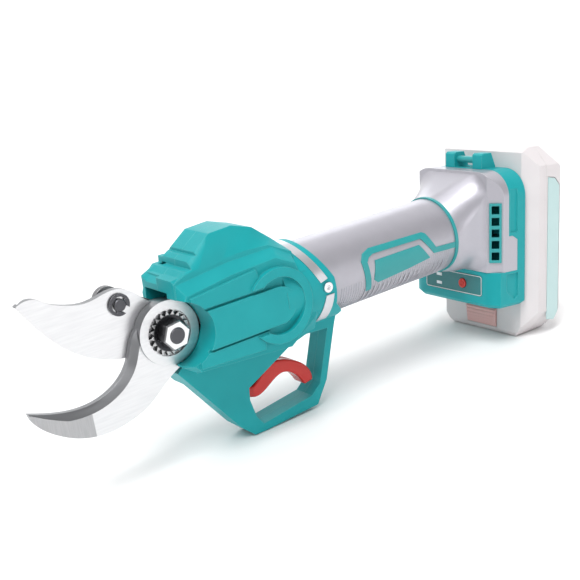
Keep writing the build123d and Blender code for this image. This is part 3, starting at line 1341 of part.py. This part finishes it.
with BuildPart() as pack_side_grips:
    for way in (-1, 1):
        with BuildSketch(pack_side(PACK_HALF * way)):
            with BuildLine():
                Polyline(*[(max(u, PACK_JOIN + 1.5) + (0.4 if u < 50 else -0.4), w * 0.985)
                           for u, w in SIDE_INSET], close=True)
            make_face()
        extrude(amount=0.8 * way)
pack_side_grips.part.label = "pack_side_grips"
export_step(pack_side_grips.part, "parts/pack_side_grips.step")

with BuildPart() as battery_cells:
    with BuildSketch(pack_side(32.5)):
        with Locations(*[(CELL_U, w) for w in CELL_W]):
            Circle(CELL_R)
    extrude(amount=65.0)
battery_cells.part.label = "battery_cells"
export_step(battery_cells.part, "parts/battery_cells.step")

# nickel straps that join the cells' ends
with BuildPart() as cell_straps:
    for way in (-1, 1):
        with BuildSketch(pack_side(32.5 * way)):
            for k in range(0, 4, 2):
                a, b = CELL_W[k if way > 0 else k + 1], CELL_W[k + 1 if way > 0 else k + 2]
                with Locations((CELL_U, (a + b) / 2)):
                    Rectangle(7.0, 26.0)
        extrude(amount=-0.3 * way)
cell_straps.part.label = "cell_straps"
export_step(cell_straps.part, "parts/cell_straps.step")

with BuildPart() as pack_board:
    with BuildSketch(pack_face(40.8)):
        with Locations((0, -6.0)):
            Rectangle(50.0, 74.0)
    extrude(amount=1.3)
    with BuildSketch(pack_face(39.8)):
        with GridLocations(12.0, 11.0, 4, 3):
            with Locations((0, -22.0)):
                Rectangle(5.0, 4.0)
    extrude(amount=1.0)
pack_board.part.label = "pack_board"
export_step(pack_board.part, "parts/pack_board.step")

# spring contacts that grip the tool's blades
with BuildPart() as pack_contacts:
    with BuildSketch(pack_face(39.5)):
        with Locations(*[(y, 14.0) for y in TERMINAL_Y]):
            Rectangle(3.0, 12.0)
    extrude(amount=1.3)
pack_contacts.part.label = "pack_contacts"
export_step(pack_contacts.part, "parts/pack_contacts.step")

with BuildPart() as release_button:
    with BuildSketch(pack_side(11.7)):
        with BuildLine():
            Polyline((35.6, LATCH_W[1] - 1.2), (37.0, LATCH_W[1] - 0.3), (41.0, LATCH_W[1] - 0.3),
                     (41.0, LATCH_W[0] + 0.3), (37.0, LATCH_W[0] + 0.3), close=True)
        make_face()
    extrude(amount=23.4)
    for k in range(4):
        with BuildSketch(pack_side(11.7)):
            with Locations((35.4 + 0.16 * (k + 1), LATCH_W[1] - 2.6 - 2.2 * k)):
                Rectangle(1.2, 0.8)
        extrude(amount=23.4, mode=Mode.SUBTRACT)
release_button.part.label = "release_button"
export_step(release_button.part, "parts/release_button.step")
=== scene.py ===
"""Battery pruner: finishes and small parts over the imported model.

Metres; +X to the rear, +Y to the user's right, +Z up.
"""

from math import pi

import bpy
from mathutils import Matrix, Vector


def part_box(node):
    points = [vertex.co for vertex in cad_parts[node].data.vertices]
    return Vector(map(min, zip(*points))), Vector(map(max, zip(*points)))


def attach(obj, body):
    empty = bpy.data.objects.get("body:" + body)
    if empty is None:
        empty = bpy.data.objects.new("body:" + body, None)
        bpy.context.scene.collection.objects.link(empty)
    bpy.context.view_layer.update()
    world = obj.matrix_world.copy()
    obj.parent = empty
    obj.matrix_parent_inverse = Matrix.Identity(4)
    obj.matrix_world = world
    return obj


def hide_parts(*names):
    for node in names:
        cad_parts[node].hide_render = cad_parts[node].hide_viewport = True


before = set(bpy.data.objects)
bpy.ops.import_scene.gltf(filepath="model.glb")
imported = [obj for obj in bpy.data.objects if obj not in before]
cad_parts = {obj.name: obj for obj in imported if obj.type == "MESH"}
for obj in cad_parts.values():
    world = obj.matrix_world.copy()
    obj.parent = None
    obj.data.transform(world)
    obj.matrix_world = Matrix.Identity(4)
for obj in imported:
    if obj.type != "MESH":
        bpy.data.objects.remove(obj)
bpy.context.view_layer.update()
bpy.ops.object.select_all(action="DESELECT")


# ---------------------------------------------------------------- studio
# A pale sweep of paper runs back to a lit wall. Four soft boxes and broad light from a window fill the room,
# and the tool is seen from the user's front left.
FLOOR_SIZE = 80.0
FLOOR_GAP = 0.0005
WALL_SIZE = 60.0
WALL_PLACE = (4.3, 6.3, 0.0)
WALL_TURN = -0.6
CAMERA_PLACE = (-0.29333, -0.4161, 0.2175)
CAMERA_RIGHT = (0.7955, -0.5889, -0.1425)
CAMERA_UP = (0.2830, 0.1532, 0.9468)
CAMERA_BACK = (-0.5357, -0.7936, 0.2885)
FILM_WIDTH = 36.0
FOCAL_LENGTH = 62.07


def softbox(name, place, aim, width, power, colour=(1.0, 1.0, 1.0)):
    """A square area light at place that faces aim."""
    bpy.ops.object.light_add(type="AREA", location=place)
    lamp = bpy.context.object
    lamp.name = name
    lamp.rotation_euler = (Vector(aim) - Vector(place)).to_track_quat("-Z", "Y").to_euler()
    lamp.data.size = width
    lamp.data.energy = power
    lamp.data.color = colour


def sheet(name, size, place, turn):
    """A flat square of the studio's paper."""
    bpy.ops.mesh.primitive_plane_add(size=size, location=place, rotation=turn)
    made = bpy.context.object
    made.name = name
    bpy.ops.object.transform_apply(location=True, rotation=True, scale=True)
    return made


def paper_material(name, grey, glow):
    """Matt paper of one grey, with a little light of its own where glow is above 0."""
    material = bpy.data.materials.new(name)
    material.use_nodes = True
    inputs = material.node_tree.nodes["Principled BSDF"].inputs
    inputs["Base Color"].default_value = (grey, grey, grey, 1.0)
    inputs["Roughness"].default_value = 0.85
    inputs["Emission Color"].default_value = (1.0, 1.0, 1.0, 1.0)
    inputs["Emission Strength"].default_value = glow
    return material


softbox("ceiling_light", (-0.1, 0.1, 1.1), (0.0, 0.0, 0.0), 0.8, 3.0)
softbox("front_light", (-0.9, -0.9, 0.75), (0.0, 0.0, 0.05), 0.7, 1.6)
softbox("back_light", (0.7, 0.8, 0.5), (0.0, 0.0, 0.05), 0.5, 1.4, (0.95, 0.98, 1.0))
softbox("side_strip", (0.35, -0.9, 0.25), (0.02, 0.0, 0.05), 0.25, 0.8)

bpy.ops.object.light_add(type="SUN", rotation=(0.28, -0.38, 0.0))
window = bpy.context.object
window.name = "window_light"
window.data.energy = 2.0
window.data.angle = 0.5

paper = sheet("paper_sweep", FLOOR_SIZE, (0.0, 0.0, -FLOOR_GAP), (0.0, 0.0, 0.0))
paper.data.materials.append(paper_material("paper_white", 0.93, 0.0))
wall = sheet("paper_wall", WALL_SIZE, WALL_PLACE, (pi / 2, 0.0, WALL_TURN))
wall.data.materials.append(paper_material("lit_white", 1.0, 0.08))

room = bpy.data.worlds.new("room")
room.use_nodes = True
room.node_tree.nodes["Background"].inputs["Color"].default_value = (1.0, 1.0, 1.0, 1.0)
room.node_tree.nodes["Background"].inputs["Strength"].default_value = 0.34
bpy.context.scene.world = room
bpy.context.scene.view_settings.view_transform = "Standard"

bpy.ops.object.camera_add()
camera = bpy.context.object
camera.name = "front_left_camera"
camera.data.sensor_width = FILM_WIDTH
camera.data.lens = FOCAL_LENGTH
facing = Matrix((CAMERA_RIGHT, CAMERA_UP, CAMERA_BACK)).transposed()
camera.matrix_world = Matrix.Translation(CAMERA_PLACE) @ facing.to_4x4()
bpy.context.scene.camera = camera


# ---------------------------------------------------------------- materials
class Shade:
    """A socket in a material. Arithmetic on it adds Math nodes, and node() adds any other."""

    def __init__(self, material, socket=None):
        self.material = material
        self.socket = socket

    def node(self, kind, settings=None, values=None, out=0):
        """Adds a node of this kind and gives back its output. A value that is a Shade is linked in."""
        made = self.material.node_tree.nodes.new(kind)
        for key, value in (settings or {}).items():
            setattr(made, key, value)
        for key, value in (values or {}).items():
            if isinstance(value, Shade):
                self.material.node_tree.links.new(value.socket, made.inputs[key])
            else:
                made.inputs[key].default_value = value
        return Shade(self.material, made.outputs[out])

    def maths(self, operation, *values):
        return self.node("ShaderNodeMath", {"operation": operation}, dict(enumerate(values)))

    def __add__(self, other):
        return self.maths("ADD", self, other)

    __radd__ = __add__

    def __sub__(self, other):
        return self.maths("SUBTRACT", self, other)

    def __rsub__(self, other):
        return self.maths("SUBTRACT", other, self)

    def __mul__(self, other):
        return self.maths("MULTIPLY", self, other)

    def __pow__(self, other):
        return self.maths("POWER", self, other)

    def size(self):
        return self.maths("ABSOLUTE", self)

    def step(self, low, high):
        """0 below low and 1 above high, smooth between."""
        return self.node("ShaderNodeMapRange", {"interpolation_type": "SMOOTHSTEP"},
                         {"Value": self, "From Min": low, "From Max": high})

    def noise(self, scale, stretch=(1.0, 1.0, 1.0), detail=2.0):
        """Noise over the object, drawn out along an axis where stretch is small."""
        place = self.node("ShaderNodeTexCoord", out="Object")
        place = self.node("ShaderNodeMapping", values={"Vector": place, "Scale": stretch})
        return self.node("ShaderNodeTexNoise", values={"Vector": place, "Scale": scale, "Detail": detail})

    def mix(self, one, two):
        """Colour one where this is 0 and colour two where it is 1."""
        one, two = [c if isinstance(c, Shade) else (*c, 1.0) for c in (one, two)]
        return self.node("ShaderNodeMix", {"data_type": "RGBA"}, {0: self, 6: one, 7: two}, out=2)

    def corners(self, reach):
        """1 on outer and inner corners within this reach, 0 on open faces."""
        soft = self.node("ShaderNodeBevel", {"samples": 4}, {"Radius": reach}, out="Normal")
        flat = self.node("ShaderNodeNewGeometry", out="Normal")
        alike = self.node("ShaderNodeVectorMath", {"operation": "DOT_PRODUCT"}, {0: soft, 1: flat},
                          out="Value")
        return (1.0 - alike).step(0.01, 0.22)

    def axis(self, letter, of="Normal"):
        """One part of the surface's direction, or of a point's place when of is Object."""
        kind = "ShaderNodeTexCoord" if of == "Object" else "ShaderNodeNewGeometry"
        return self.node("ShaderNodeSeparateXYZ", values={0: self.node(kind, out=of)}, out=letter)

    def sideways(self, low, high):
        """1 on faces that look straight to the left or right, 0 on bevels and cut edges."""
        return self.axis("Y").size().step(low, high)


def finish(name, nodes, colour, roughness, bump=None, height=0.0, rounding=0.0003, **fixed):
    """Makes the material for these CAD nodes. colour and roughness are values, or functions of the Shade."""
    material = bpy.data.materials.new(name)
    material.use_nodes = True
    shader = material.node_tree.nodes["Principled BSDF"]
    start = Shade(material)
    for socket, value in (("Base Color", colour), ("Roughness", roughness)):
        value = value(start) if callable(value) else value
        if isinstance(value, Shade):
            material.node_tree.links.new(value.socket, shader.inputs[socket])
        else:
            shader.inputs[socket].default_value = (*value, 1.0) if isinstance(value, tuple) else value
    for socket, value in fixed.items():
        shader.inputs[socket.replace("_", " ")].default_value = value
    edge = start.node("ShaderNodeBevel", {"samples": 4}, {"Radius": rounding}, out="Normal")
    if bump:
        edge = start.node("ShaderNodeBump", out="Normal",
                          values={"Height": bump(start), "Strength": 1.0, "Distance": height, "Normal": edge})
    material.node_tree.links.new(edge.socket, shader.inputs["Normal"])
    for node in nodes:
        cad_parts[node].material_slots[0].material = material
    return material


SAME_POINT = 0.000002
FLAT_WITHIN = 0.01
CORNER_OVER = 0.5


def round_corners(node, width, segments=3):
    """Rounds a CAD node's corners with live modifiers; its own mesh stays as it is."""
    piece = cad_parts[node]
    weld = piece.modifiers.new("join_faces", "WELD")
    weld.merge_threshold = SAME_POINT
    flats = piece.modifiers.new("whole_flats", "DECIMATE")
    flats.decimate_type = "DISSOLVE"
    flats.angle_limit = FLAT_WITHIN
    bevel = piece.modifiers.new("rounding", "BEVEL")
    bevel.width = width
    bevel.segments = segments
    bevel.limit_method = "ANGLE"
    bevel.angle_limit = CORNER_OVER
    bevel.harden_normals = False
    weighted = piece.modifiers.new("even_shading", "WEIGHTED_NORMAL")
    weighted.keep_sharp = False


# ---------------------------------------------------------------- hook and blade
# Hardened steel plates, laser cut, ground flat and satin polished. The ground bevels and the cut edges are
# painted darker than the flats, as painted shade, and fine scratches run along the plates. The hook's tip is
# ground again, across them.
TIP_GRIND_X = (-0.1362, -0.1358)
FLAT_SIDE = (0.90, 0.985)


def plate_colour_with_painted_shade(s):
    scratches = s.noise(900.0, (0.08, 1.0, 1.0), 4.0)
    bright = scratches.mix((0.68, 0.68, 0.695), (0.84, 0.84, 0.85))
    # Painted shade: faces that don't look straight to the side, the bevels and cut edges, take the dark grey.
    return s.sideways(*FLAT_SIDE).mix((0.34, 0.345, 0.36), bright)


def hook_colour(s):
    tip = 1.0 - s.axis("X", "Object").step(*TIP_GRIND_X)
    cross_cut = s.noise(1500.0, (1.0, 1.0, 0.08), 4.0).mix((0.36, 0.36, 0.37), (0.50, 0.50, 0.51))
    return (tip * s.sideways(*FLAT_SIDE)).mix(plate_colour_with_painted_shade(s), cross_cut)


def ground_lines(s):
    return s.noise(1400.0, (0.05, 1.0, 1.0), 3.0)


finish("ground_hook_steel", ["fixed_hook"], hook_colour,
       lambda s: 0.25 + s.noise(700.0, (0.06, 1.0, 1.0), 3.0) * 0.16,
       bump=ground_lines, height=0.00002, rounding=0.00025, Metallic=1.0, Anisotropic=0.4)
finish("ground_blade_steel", ["cutting_blade"], plate_colour_with_painted_shade,
       lambda s: 0.24 + s.noise(700.0, (0.06, 1.0, 1.0), 3.0) * 0.16,
       bump=ground_lines, height=0.00002, rounding=0.00025, Metallic=1.0, Anisotropic=0.4)

# ---------------------------------------------------------------- pivot
# The pivot's bolt and the blade's pin are blackened steel. The lock ring and the nut are turned steel with a
# zinc coat, so their rims show fine rings from the lathe. Both are painted dark on faces that don't look to
# the side, and the ring also inside its splines: painted shade. The bush between blade and bolt is sintered
# bronze.
SPLINE_REACH = (0.0086, 0.0094)


def ring_colour_with_painted_shade(s):
    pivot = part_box("lock_ring")
    across = s.axis("X", "Object") - (pivot[0][0] + pivot[1][0]) / 2
    upward = s.axis("Z", "Object") - (pivot[0][2] + pivot[1][2]) / 2
    # Painted shade: near black inside the spline circle and on faces that don't look to the side.
    rim_outside_painted_shade = ((across * across + upward * upward) ** 0.5).step(*SPLINE_REACH)
    return (rim_outside_painted_shade * s.sideways(0.7, 0.95)).mix((0.045, 0.045, 0.05), (0.55, 0.55, 0.56))


def lathe_rings(s):
    return 0.22 + s.noise(1200.0, (1.0, 0.05, 1.0), 3.0) * 0.14


finish("splined_ring_steel", ["lock_ring"], ring_colour_with_painted_shade, lathe_rings, Metallic=1.0)
# Painted shade: the nut's faces that don't look to the side are painted dark.
finish("zinc_turned_steel", ["clamp_nut"],
       lambda s: s.sideways(0.6, 0.95).mix((0.16, 0.16, 0.17), (0.84, 0.84, 0.85)), lathe_rings, Metallic=1.0)
# Painted highlights: the corners are painted a lighter grey.
finish("blackened_steel",
       ["pivot_bolt", "blade_pin", "blade_pin_clip", "head_screws", "hook_screws", "motor_can"],
       lambda s: s.corners(0.0004).mix((0.10, 0.10, 0.11), (0.34, 0.34, 0.36)),
       lambda s: 0.30 + s.noise(600.0) * 0.2, Metallic=0.9)
finish("oiled_bronze", ["pivot_bushing"],
       lambda s: s.noise(1500.0).mix((0.50, 0.31, 0.13), (0.66, 0.45, 0.21)),
       lambda s: 0.30 + s.noise(1500.0) * 0.15, Metallic=1.0)


# ---------------------------------------------------------------- gears, bearings and motor
# Sintered gears with a dull grey skin, painted brighter on all their corners as painted highlights. Bearings
# and the shaft are polished. The stator is a stack of pressed sheets with enamelled copper wound through it.
# Painted highlights: every corner of the gears and the case is painted a pale grey.
finish("sintered_gear_steel",
       ["sector_gear", "bevel_pinion", "planet_carrier", "planet_gear_1", "planet_gear_2", "planet_gear_3",
        "gearbox_case"],
       lambda s: s.corners(0.0004).mix(s.noise(900.0).mix((0.24, 0.24, 0.25), (0.36, 0.36, 0.37)),
                                       (0.62, 0.62, 0.63)),
       lambda s: 0.38 + s.noise(900.0) * 0.2, bump=lambda s: s.noise(2200.0), height=0.00002, Metallic=0.95)
SHEETS_PER_METRE = 9000.0
finish("pressed_sheet_steel", ["motor_stator", "rotor_core"],
       lambda s: s.maths("SINE", s.axis("X", "Object") * SHEETS_PER_METRE).step(-0.6, 0.4).mix(
           (0.16, 0.16, 0.17), (0.42, 0.42, 0.43)),
       0.42, Metallic=0.95)
finish("polished_steel",
       ["pinion_bearings", "motor_bearings", "rotor_shaft", "trigger_pin", "collar_screws"],
       lambda s: s.noise(500.0).mix((0.74, 0.74, 0.76), (0.84, 0.84, 0.86)),
       lambda s: 0.12 + s.noise(900.0) * 0.08, Metallic=1.0)
finish("enamelled_copper", ["motor_windings"],
       lambda s: s.noise(2600.0, (0.1, 1.0, 1.0), 3.0).mix((0.36, 0.12, 0.04), (0.72, 0.31, 0.12)),
       0.28, bump=lambda s: s.noise(2600.0, (0.08, 1.0, 1.0)), height=0.0001, Metallic=0.9)
# Painted highlights: the corners are painted a little lighter than the black.
finish("black_moulding",
       ["cooling_fan", "trigger_switch", "board_capacitors", "board_rails", "terminal_block"],
       lambda s: s.corners(0.0004).mix((0.014, 0.014, 0.016), (0.05, 0.05, 0.055)),
       lambda s: 0.42 + s.noise(900.0) * 0.15, bump=lambda s: s.noise(3000.0), height=0.00002)


# ---------------------------------------------------------------- head shells
# Two halves moulded in glass-filled nylon, coloured through, with a fine spark-eroded texture. Corners are
# painted a little paler, as painted highlights. The pack's foot is the same nylon.
def nylon_colour_with_highlights(s):
    body = s.noise(60.0, detail=3.0).mix((0.004, 0.315, 0.340), (0.008, 0.375, 0.400))
    # Painted highlights: corners are mixed towards a pale teal.
    return (s.corners(0.0007) * 0.45).mix(body, (0.14, 0.60, 0.59))


finish("textured_teal_nylon", ["head_shell_left", "head_shell_right", "pack_foot"], nylon_colour_with_highlights,
       lambda s: 0.40 + s.noise(1500.0) * 0.14,
       bump=lambda s: s.noise(2600.0, detail=3.0), height=0.00003, rounding=0.0006, Specular_IOR_Level=0.3)
round_corners("head_shell_left", 0.0007)
round_corners("head_shell_right", 0.0007)
round_corners("pack_foot", 0.0005)

# ---------------------------------------------------------------- trigger
# One glossy moulding in red acetal, polished in the tool, with faint handling scratches. The switch's plunger
# behind it is the same colour. A remeshed and smoothed copy of the lever gives it the moulding's round edges.
VOXEL = 0.0004
SMOOTHING = {"factor": 0.5, "iterations": 45}
# Painted highlights: the corners of the lever and the plunger are painted a brighter red.
red_acetal = finish("glossy_red_acetal", ["trigger", "switch_plunger"],
                    lambda s: (s.corners(0.0006) * 0.5).mix((0.58, 0.012, 0.006), (0.80, 0.07, 0.035)),
                    lambda s: 0.20 + s.noise(400.0) * 0.05, rounding=0.0004, Coat_Weight=0.25,
                    Coat_Roughness=0.15, Specular_IOR_Level=0.4)

bpy.context.view_layer.objects.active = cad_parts["trigger"]
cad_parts["trigger"].select_set(True)
bpy.ops.object.duplicate()
lever = bpy.context.object
lever.name = "rounded_trigger"
lever.parent = None
for key in [key for key in lever.keys() if key.startswith("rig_")]:
    del lever[key]
bpy.ops.object.mode_set(mode="EDIT")
bpy.ops.mesh.select_all(action="SELECT")
bpy.ops.mesh.remove_doubles(threshold=SAME_POINT)
bpy.ops.object.mode_set(mode="OBJECT")
for kind, settings in (("REMESH", {"mode": "VOXEL", "voxel_size": VOXEL}), ("SMOOTH", SMOOTHING)):
    bpy.ops.object.modifier_add(type=kind)
    for key, value in settings.items():
        setattr(lever.modifiers[-1], key, value)
    bpy.ops.object.modifier_apply(modifier=lever.modifiers[-1].name)
bpy.ops.object.shade_smooth()
lever.data.materials.clear()
lever.data.materials.append(red_acetal)
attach(lever, "trigger")
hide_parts("trigger")
bpy.ops.object.select_all(action="DESELECT")

# ---------------------------------------------------------------- grip
# A drawn aluminium tube, bead blasted and clear anodised. Its underside is rolled with fine rings for the
# fingers, and a collar of the same metal clamps it in the head.
RING_PITCH = 0.0017
RING_RADIUS = 0.00032
RING_SUNK = 0.00005
RINGS_BELOW_AXIS = 0.0045
GAP_TO_COLLAR = 0.0075
GAP_TO_REAR_RING = 0.0015

# Painted highlights: the tube's corners are painted a pale silver.
anodised = finish("blasted_anodised_tube", ["handle_tube"],
                  lambda s: (s.corners(0.0006) * 0.4).mix(
                      s.noise(140.0).mix((0.43, 0.42, 0.465), (0.48, 0.47, 0.515)), (0.74, 0.74, 0.77)),
                  lambda s: 0.34 + s.noise(1600.0) * 0.12,
                  bump=lambda s: s.noise(3200.0), height=0.00002, Metallic=0.55)
# Painted highlights: the collar's corners are painted paler.
finish("satin_collar_metal", ["collar_band"],
       lambda s: (s.corners(0.0006) * 0.6).mix((0.66, 0.66, 0.69), (0.90, 0.90, 0.92)),
       lambda s: 0.26 + s.noise(1300.0, (1.0, 0.1, 0.1), 3.0) * 0.14, Metallic=0.8, Anisotropic=0.3)

tube_low, tube_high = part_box("handle_tube")
grip_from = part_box("collar_band")[1][0] + GAP_TO_COLLAR
grip_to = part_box("handle_ring")[0][0] - GAP_TO_REAR_RING
grip_radius = (tube_high[1] - tube_low[1]) / 2
grip_axis_z = (tube_high[2] + tube_low[2]) / 2
bpy.ops.mesh.primitive_torus_add(major_radius=grip_radius - RING_SUNK, minor_radius=RING_RADIUS,
                                 major_segments=72, minor_segments=6,
                                 location=(grip_from, 0.0, grip_axis_z), rotation=(0.0, pi / 2, 0.0))
rings = bpy.context.object
rings.name = "grip_rings"
bpy.ops.object.transform_apply(location=True, rotation=True, scale=True)
bpy.ops.object.mode_set(mode="EDIT")
bpy.ops.mesh.bisect(plane_co=(0.0, 0.0, grip_axis_z - RINGS_BELOW_AXIS), plane_no=(0.0, 0.0, 1.0),
                    use_fill=True, clear_outer=True)
bpy.ops.mesh.select_all(action="SELECT")
bpy.ops.mesh.normals_make_consistent(inside=False)
bpy.ops.object.mode_set(mode="OBJECT")
bpy.ops.object.modifier_add(type="ARRAY")
row = rings.modifiers[-1]
row.use_relative_offset = False
row.use_constant_offset = True
row.constant_offset_displace = (RING_PITCH, 0.0, 0.0)
row.count = int((grip_to - grip_from) / RING_PITCH)
bpy.ops.object.modifier_apply(modifier=row.name)
bpy.ops.object.shade_smooth_by_angle(angle=0.6)
rings.data.materials.append(anodised)
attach(rings, "frame")
bpy.ops.object.select_all(action="DESELECT")

# ---------------------------------------------------------------- trims
# Thin smooth mouldings in the head's colour, bonded to the grip and clipped into the rear housing and the foot.
# Painted highlights: the corners are painted a paler teal.
finish("smooth_teal_moulding", ["handle_ring", "grip_frames", "grip_badges", "vent_strips", "lanyard_bar"],
       lambda s: (s.corners(0.0005) * 0.5).mix(s.noise(90.0).mix((0.020, 0.30, 0.31), (0.028, 0.345, 0.352)),
                                               (0.10, 0.52, 0.52)),
       lambda s: 0.30 + s.noise(900.0) * 0.10, bump=lambda s: s.noise(2400.0), height=0.000015)

# ---------------------------------------------------------------- rear housing
# The flared housing is nylon too, under a silver lacquer with fine metal flake and a clear coat.
# Painted highlights: the housing's corners are painted a pale silver.
finish("silver_lacquer", ["rear_housing"],
       lambda s: (s.corners(0.0008) * 0.4).mix(s.noise(5200.0).mix((0.40, 0.39, 0.435), (0.52, 0.51, 0.56)),
                                               (0.84, 0.84, 0.87)),
       lambda s: 0.30 + s.noise(300.0) * 0.08, rounding=0.0008, Metallic=0.45, Coat_Weight=0.25,
       Coat_Roughness=0.2)
round_corners("rear_housing", 0.0007)

# ---------------------------------------------------------------- control panel
# A darker panel let into the foot, with a printed border, two lamp windows and a soft red power button.
finish("dark_teal_panel", ["control_panel"],
       lambda s: s.noise(90.0).mix((0.012, 0.155, 0.165), (0.018, 0.19, 0.20)),
       lambda s: 0.34 + s.noise(1200.0) * 0.1, bump=lambda s: s.noise(2600.0), height=0.00002)
finish("white_print", ["panel_border"],
       lambda s: s.noise(1500.0).mix((0.72, 0.76, 0.76), (0.84, 0.87, 0.87)), 0.5)
finish("lamp_lens", ["led_windows"],
       lambda s: s.noise(400.0).mix((0.82, 0.88, 0.88), (0.92, 0.95, 0.95)),
       0.18, Coat_Weight=0.5, Subsurface_Weight=0.2)
# Painted highlights: the button's corners are painted a brighter red.
finish("soft_red_button", ["power_button"],
       lambda s: (s.corners(0.0005) * 0.5).mix((0.60, 0.022, 0.014), (0.80, 0.12, 0.09)),
       lambda s: 0.36 + s.noise(1600.0) * 0.12)


# ---------------------------------------------------------------- boards and contacts
# Glass-fibre boards under green solder mask with faint tracks, and nickel-plated contact blades and straps.
def mask_colour(s):
    return s.node("ShaderNodeTexBrick",
                  values={"Vector": s.node("ShaderNodeTexCoord", out="Object"), "Scale": 260.0,
                          "Color1": (0.012, 0.11, 0.045, 1.0), "Color2": (0.018, 0.15, 0.06, 1.0),
                          "Mortar": (0.04, 0.24, 0.10, 1.0)})


finish("solder_mask_board", ["button_board", "controller_board", "pack_board"], mask_colour, 0.3,
       Coat_Weight=0.3)
finish("nickel_plate", ["terminal_blades", "cell_straps", "pack_contacts"],
       lambda s: s.noise(900.0).mix((0.60, 0.57, 0.51), (0.74, 0.71, 0.65)),
       lambda s: 0.22 + s.noise(1400.0, (0.1, 1.0, 1.0)) * 0.14, Metallic=1.0)

# ---------------------------------------------------------------- battery pack
# Two pale moulded shells with teal-tinted side grips and a pale red release button. Five cells in blue shrink
# sleeve lie across inside.
# Painted highlights: the shells' corners are painted paler.
finish("pale_pack_shell", ["pack_front_shell", "pack_rear_shell"],
       lambda s: (s.corners(0.0006) * 0.5).mix(s.noise(70.0).mix((0.70, 0.655, 0.665), (0.75, 0.71, 0.72)),
                                               (0.86, 0.83, 0.83)),
       lambda s: 0.42 + s.noise(1500.0) * 0.14, bump=lambda s: s.noise(2600.0, detail=3.0), height=0.00003,
       rounding=0.0008)
round_corners("pack_front_shell", 0.0004)
finish("pale_teal_grip", ["pack_side_grips"],
       lambda s: s.noise(80.0).mix((0.50, 0.68, 0.68), (0.56, 0.73, 0.73)),
       lambda s: 0.5 + s.noise(1500.0) * 0.12, bump=lambda s: s.noise(1800.0), height=0.00004)
# Painted highlights: the release button's corners are painted paler.
finish("pale_red_release", ["release_button"],
       lambda s: (s.corners(0.0005) * 0.5).mix((0.78, 0.46, 0.44), (0.90, 0.66, 0.64)),
       lambda s: 0.40 + s.noise(1500.0) * 0.12)
finish("blue_cell_sleeve", ["battery_cells"],
       lambda s: s.noise(120.0).mix((0.03, 0.14, 0.34), (0.05, 0.19, 0.42)),
       lambda s: 0.22 + s.noise(500.0) * 0.1)
